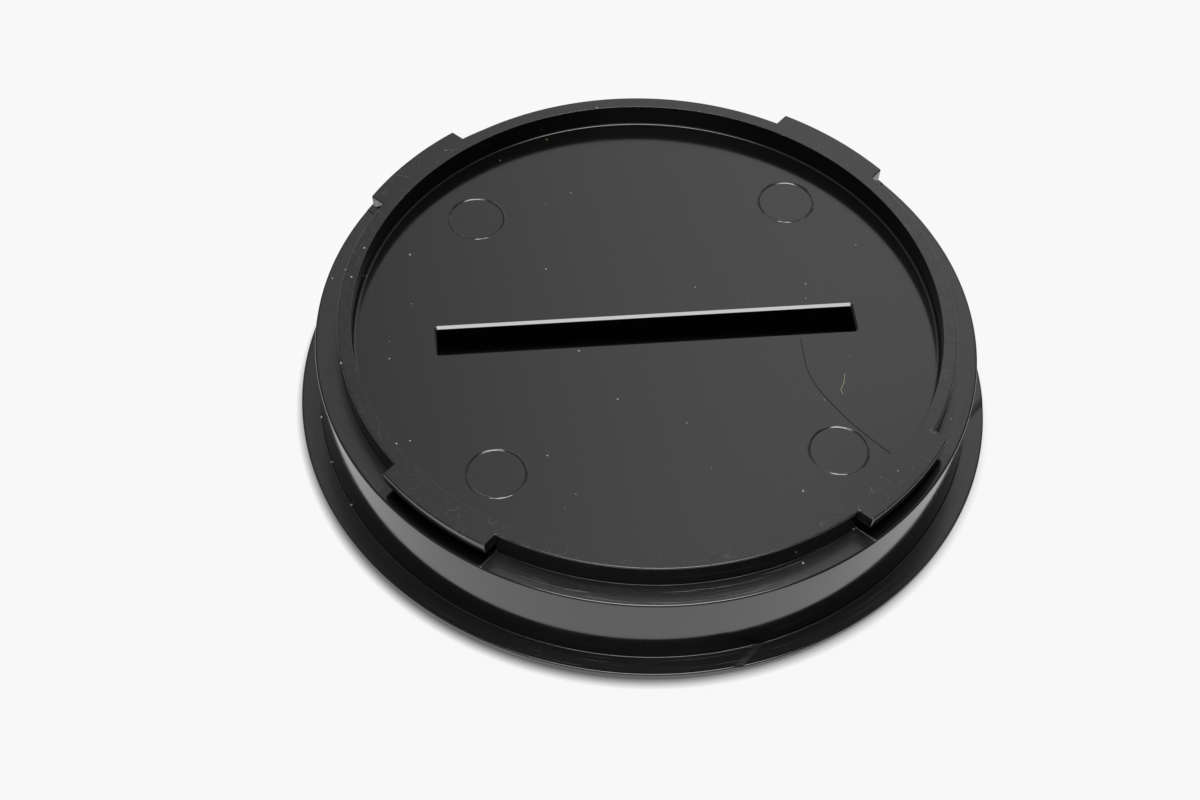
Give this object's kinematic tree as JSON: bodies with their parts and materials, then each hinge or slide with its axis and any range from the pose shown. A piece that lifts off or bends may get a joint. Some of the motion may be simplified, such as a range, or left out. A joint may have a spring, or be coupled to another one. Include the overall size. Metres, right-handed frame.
{
  "type": "camera body cap",
  "caption": "Round body cap for a camera's bayonet mount: flange, collar, lipped rim with bayonet tabs, and a hollow finger grip in the dished outer face.",
  "frame": {"origin": "on the cap's axis, in the plane of the outer face that the cap lies on", "axes": "+Z along the axis, from the outer face towards the inside of the camera; +X along the finger grip and its slot"},
  "size_m": [0.07, 0.07, 0.0126],
  "materials": {
    "black_plastic": "gloss black injection moulding, with faint tool marks on the ledge and fine handling scratches"
  },
  "bodies": {
    "root": {"body_cap": "black_plastic"}
  },
  "joints": []
}
